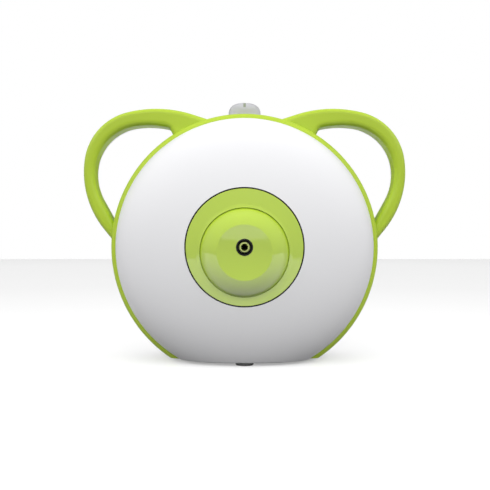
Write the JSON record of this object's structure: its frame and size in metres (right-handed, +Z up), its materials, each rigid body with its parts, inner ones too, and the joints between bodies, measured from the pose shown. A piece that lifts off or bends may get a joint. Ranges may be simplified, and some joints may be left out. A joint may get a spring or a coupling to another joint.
{
  "type": "electric nasal aspirator",
  "caption": "Round tabletop suction unit with a bulging white front, green rim, ear-shaped carrying handles, a hose port in a green central dome and a speed knob on top.",
  "frame": {"origin": "on the surface the unit stands on, below the middle of its bounding box", "axes": "+X to the right seen from the front, +Y to the back, so the hose port faces -Y, +Z up"},
  "size_m": [0.2876, 0.118, 0.2331],
  "materials": {
    "white_shell": "glossy moulded ABS",
    "green_frame": "glossy moulded ABS",
    "green_panel": "glossy moulded ABS",
    "green_dome": "glossy, slightly translucent-looking",
    "green_port": "satin",
    "knob_grey": "satin to gloss",
    "knob_mark": "matt",
    "white_plastic": "matt",
    "black_plastic": "matt",
    "clear_plastic": "clear",
    "board": "solder mask",
    "board_yellow": "tape-wrapped",
    "wire_insulation": "matt",
    "black_rubber": "matt",
    "grey_rubber": "matt",
    "silicone": "satin, milky",
    "felt": "matt",
    "zinc_steel": "zinc plated",
    "polished_steel": "ground",
    "laminated_steel": "dull",
    "dark_metal": "satin",
    "cast_aluminium": "as cast",
    "ferrite": "matt",
    "copper": "enamelled copper",
    "nickel_pins": "bright"
  },
  "bodies": {
    "housing": {"front_cover": "white_shell", "handle_frame": "green_frame", "rear_shell": "white_shell", "centre_panel": "green_panel", "panel_gasket": "black_rubber", "nose_dome": "green_dome", "port_bracket": "black_plastic", "hose_port": "green_port", "port_seal": "black_rubber", "cover_screws": "zinc_steel", "rear_screws": "zinc_steel", "potentiometer": "dark_metal", "pot_nut": "zinc_steel", "knob_ring": "felt", "rubber_feet": "grey_rubber", "mains_inlet": "black_plastic", "inlet_pins": "nickel_pins", "chassis_plate": "zinc_steel", "rubber_mounts": "black_rubber", "motor_cradle": "black_plastic", "motor_strap": "zinc_steel", "motor_can": "zinc_steel", "motor_end_bell": "black_plastic", "motor_bearings": "polished_steel", "field_magnets": "ferrite", "motor_brushes": "ferrite", "diaphragm": "black_rubber", "crankcase": "cast_aluminium", "motor_screws": "zinc_steel", "valve_plate": "cast_aluminium", "valve_flaps": "black_rubber", "pump_head": "black_plastic", "head_screws": "zinc_steel", "filter_bowl": "clear_plastic", "filter_cap": "white_plastic", "filter_element": "felt", "muffler": "black_plastic", "port_hose": "silicone", "suction_hose": "silicone", "exhaust_hose": "silicone", "control_board": "board", "small_screws": "zinc_steel", "transformer": "board_yellow", "capacitor": "dark_metal", "heat_sink": "cast_aluminium", "wiring": "wire_insulation"},
    "knob": {"knob": "knob_grey", "knob_index": "knob_mark", "knob_shaft": "polished_steel"},
    "rotor": {"motor_shaft": "polished_steel", "armature": "laminated_steel", "armature_windings": "copper", "commutator": "copper", "cooling_fan": "white_plastic", "crank": "laminated_steel"},
    "rod": {"connecting_rod": "cast_aluminium", "crank_bearing": "polished_steel", "clamp_washer": "zinc_steel", "clamp_screw": "zinc_steel"}
  },
  "joints": [
    {"name": "knob_turn", "type": "hinge", "parent": "housing", "child": "knob", "pos_m": [0, 0.031, 0.2192], "axis": [0, 0, -1], "range_deg": [0, 270]},
    {"name": "motor_spin", "type": "hinge", "parent": "housing", "child": "rotor", "pos_m": [0, 0.014, 0.052], "axis": [1, 0, 0], "continuous": true},
    {"name": "rod_pivot", "type": "hinge", "parent": "rotor", "child": "rod", "pos_m": [0.038, 0.014, 0.0545], "axis": [1, 0, 0], "continuous": true, "deforming": ["diaphragm"]}
  ],
  "couplings": [
    {"joint": "rod_pivot", "follows": "motor_spin", "ratio": -1}
  ]
}
